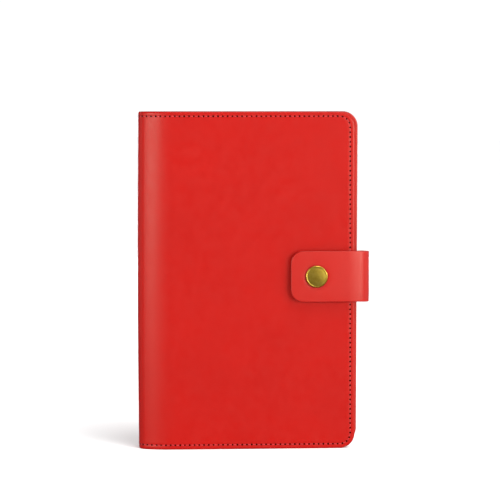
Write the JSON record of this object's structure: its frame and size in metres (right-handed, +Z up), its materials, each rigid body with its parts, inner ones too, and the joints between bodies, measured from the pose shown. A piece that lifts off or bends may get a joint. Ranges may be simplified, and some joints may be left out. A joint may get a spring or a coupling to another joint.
{
  "type": "leather notebook cover",
  "caption": "Red leather slip-in notebook cover closed round a hardback notebook, with stitched edges, a rounded spine and a fore-edge strap that snaps to the front.",
  "frame": {"origin": "middle of the closed cover's footprint, strap and snap included, at the bottom edge it stands on", "axes": "+Z up along the spine's height, -Y out of the front cover, -X out of the spine, +X out of the fore-edge where the strap wraps"},
  "size_m": [0.1516, 0.0318, 0.222],
  "materials": {
    "red_leather": "satin",
    "lining": "matte",
    "thread": "satin",
    "board": "satin",
    "paper": "matte",
    "headband": "matte",
    "brass": "satin",
    "spring_steel": "satin"
  },
  "bodies": {
    "back": {"back_cover": "red_leather", "back_lining": "lining", "back_pocket": "red_leather", "back_stitching": "thread", "strap_root": "red_leather", "notebook_back_board": "board", "back_endpaper": "paper", "page_block": "paper", "headbands": "headband"},
    "spine": {"spine_cover": "red_leather", "spine_lining": "lining", "spine_stitching": "thread", "notebook_spine": "board"},
    "front": {"front_cover": "red_leather", "front_lining": "lining", "front_pocket": "red_leather", "upper_card_slot": "red_leather", "lower_card_slot": "red_leather", "front_stitching": "thread", "notebook_front_board": "board", "front_endpaper": "paper", "snap_stud": "brass", "snap_post": "brass"},
    "strap_side": {"strap_side": "red_leather"},
    "strap_flap": {"strap_flap": "red_leather", "snap_cap": "brass", "snap_socket": "brass", "snap_spring": "spring_steel"}
  },
  "joints": [
    {"name": "spine_fold", "type": "hinge", "parent": "back", "child": "spine", "pos_m": [-0.07381, 0.01107, 0.111], "axis": [0, 0, -1], "range_deg": [0, 90]},
    {"name": "front_fold", "type": "hinge", "parent": "spine", "child": "front", "pos_m": [-0.07381, -0.00527, 0.111], "axis": [0, 0, -1], "range_deg": [0, 90]},
    {"name": "strap_back_fold", "type": "hinge", "parent": "back", "child": "strap_side", "pos_m": [0.07429, 0.01334, 0.1142], "axis": [0, 0, 1], "range_deg": [0, 90]},
    {"name": "strap_front_fold", "type": "hinge", "parent": "strap_side", "child": "strap_flap", "pos_m": [0.07238, -0.01093, 0.1142], "axis": [0, 0, 1], "range_deg": [0, 90]}
  ],
  "couplings": [
    {"joint": "front_fold", "follows": "spine_fold", "ratio": 1}
  ]
}
